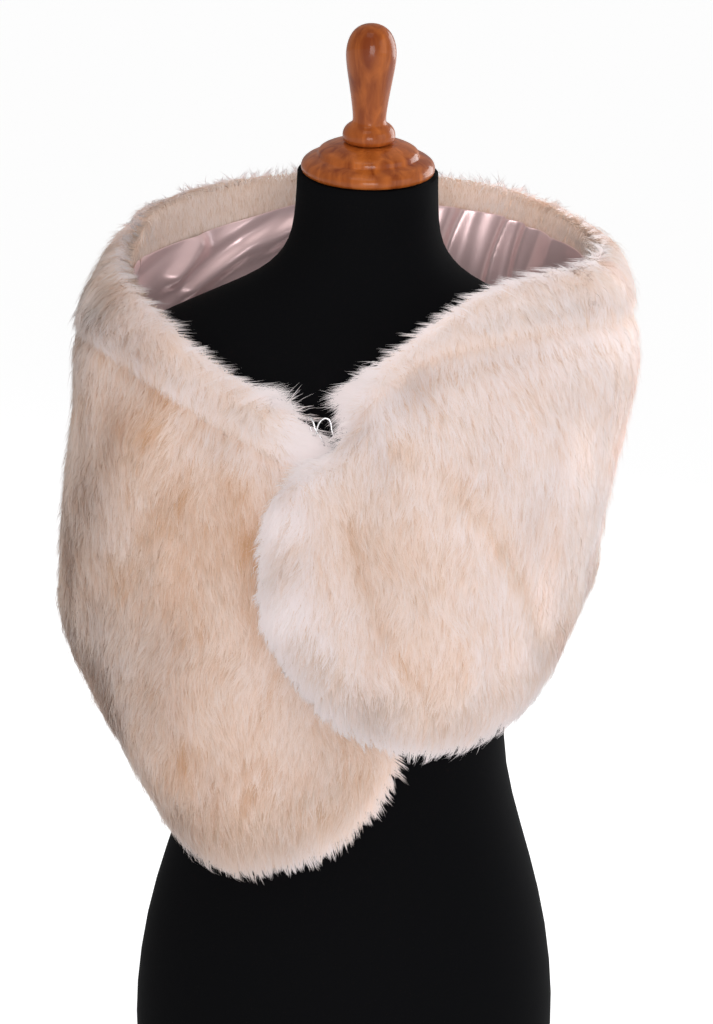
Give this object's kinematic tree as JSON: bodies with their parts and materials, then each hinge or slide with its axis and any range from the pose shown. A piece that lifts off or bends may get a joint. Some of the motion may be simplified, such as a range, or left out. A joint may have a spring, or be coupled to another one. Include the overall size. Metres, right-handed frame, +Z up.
{
  "type": "fur cape on a dress form",
  "caption": "Short lined fur cape with a collar strip and lapped round fronts, hooked at the chest, worn on a black limbless dress form with a turned wooden neck cap.",
  "frame": {"origin": "centre of the dress form's flat underside, on the form's upright axis", "axes": "+Z up along the form; the form's front faces -Y; +X is the wearer's left"},
  "size_m": [0.4511, 0.3696, 0.8424],
  "materials": {
    "fur": "long soft pile, cream with tan roots",
    "satin_lining": "satin weave, pale pink",
    "clasp_wire": "bright bent wire",
    "form_jersey": "matte black jersey",
    "turned_wood": "clear gloss lacquer"
  },
  "bodies": {
    "root": {"collar_right": "fur", "collar_back": "fur", "collar_left": "fur", "front_right": "fur", "back": "fur", "front_left": "fur", "lining_right": "satin_lining", "lining_back": "satin_lining", "lining_left": "satin_lining", "clasp_eye": "clasp_wire", "clasp_hook": "clasp_wire", "form_torso": "form_jersey", "neck_cap": "turned_wood", "cap_finial": "turned_wood"}
  },
  "joints": []
}
